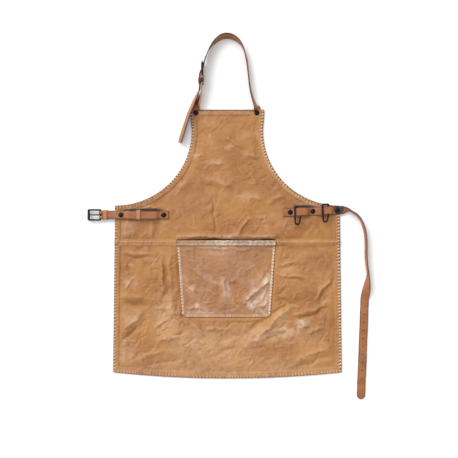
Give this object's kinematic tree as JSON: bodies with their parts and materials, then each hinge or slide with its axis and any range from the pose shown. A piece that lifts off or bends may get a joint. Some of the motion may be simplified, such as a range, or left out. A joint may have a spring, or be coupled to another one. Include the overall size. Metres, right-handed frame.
{
  "type": "butcher apron",
  "caption": "Bib apron in waxed canvas with a patch pocket, leather neck and waist straps with buckles, sliding loops and wire tool hooks.",
  "frame": {"origin": "on the surface that the apron lies on, on its middle line, halfway between the top of the neck strap and the tip of the waist strap", "axes": "+X to the right of the apron as seen, +Y up to the neck strap, +Z out of the canvas's face"},
  "size_m": [0.8427, 1.0877, 0.035],
  "materials": {
    "waxed_canvas": "satin",
    "hem_canvas": "satin",
    "worn_canvas": "matte",
    "thread": "matte",
    "strap_leather": "satin",
    "keeper_leather": "satin",
    "dark_leather": "satin",
    "blackened_steel": "satin"
  },
  "bodies": {
    "apron": {"bib_panel": "waxed_canvas", "skirt_panel": "waxed_canvas", "top_hem": "hem_canvas", "left_armhole_facing": "hem_canvas", "right_armhole_facing": "hem_canvas", "left_side_hem": "hem_canvas", "right_side_hem": "hem_canvas", "bottom_hem": "hem_canvas", "pocket_front": "waxed_canvas", "pocket_hem": "worn_canvas", "top_hem_stitching": "thread", "armhole_stitching": "thread", "side_hem_stitching": "thread", "bottom_hem_stitching": "thread", "waist_seam_stitching": "thread", "pocket_stitching": "thread", "neck_strap_foot": "strap_leather", "neck_strap_tip": "strap_leather", "neck_buckle_strap_foot": "strap_leather", "neck_rivet_caps": "blackened_steel", "neck_rivet_backs": "blackened_steel", "left_waist_strap": "strap_leather", "buckle_keeper": "keeper_leather", "left_waist_rivet_caps": "blackened_steel", "left_waist_rivet_backs": "blackened_steel", "right_waist_strap": "strap_leather", "right_waist_rivet_caps": "blackened_steel", "right_waist_rivet_backs": "blackened_steel"},
    "neck_loop": {"neck_strap": "strap_leather", "neck_buckle_strap": "strap_leather", "neck_buckle_frame": "blackened_steel", "neck_buckle_prong": "blackened_steel"},
    "neck_keeper": {"neck_keeper": "dark_leather"},
    "buckle_frame": {"waist_buckle_frame": "blackened_steel"},
    "buckle_prong": {"waist_buckle_prong": "blackened_steel"},
    "strap_keeper": {"sliding_keeper": "keeper_leather"},
    "left_hook": {"left_tool_hook": "blackened_steel"},
    "right_hook": {"right_tool_hook": "blackened_steel"},
    "strap_tail": {"waist_strap_tail": "strap_leather"}
  },
  "joints": [
    {"name": "neck_loop_fold", "type": "hinge", "parent": "apron", "child": "neck_loop", "pos_m": [0, 0.33, 0.004], "axis": [1, 0, 0], "range_deg": [0, 90]},
    {"name": "neck_keeper_slide", "type": "slide", "parent": "neck_loop", "child": "neck_keeper", "axis": [0, -1, 0], "range_m": [-0.0015, 0.01]},
    {"name": "waist_buckle_hinge", "type": "hinge", "parent": "apron", "child": "buckle_frame", "pos_m": [-0.378, 0.008, 0.0082], "axis": [0, 1, 0], "range_deg": [0, 75]},
    {"name": "waist_prong_hinge", "type": "hinge", "parent": "buckle_frame", "child": "buckle_prong", "pos_m": [-0.378, 0.008, 0.0082], "axis": [0, 1, 0], "range_deg": [0, 40]},
    {"name": "sliding_keeper_slide", "type": "slide", "parent": "apron", "child": "strap_keeper", "axis": [1, 0, 0], "range_m": [-0.021, 0.045]},
    {"name": "left_hook_slide", "type": "slide", "parent": "apron", "child": "left_hook", "axis": [0.9991, 0.0427, 0], "range_m": [0, 0.022]},
    {"name": "right_hook_slide", "type": "slide", "parent": "apron", "child": "right_hook", "axis": [0.9991, 0.0427, 0], "range_m": [-0.017, 0.003]},
    {"name": "waist_strap_swing", "type": "hinge", "parent": "apron", "child": "strap_tail", "pos_m": [0.38605, 0.0078, 0.012], "axis": [0, 0, 1], "range_deg": [-4, 80]}
  ]
}
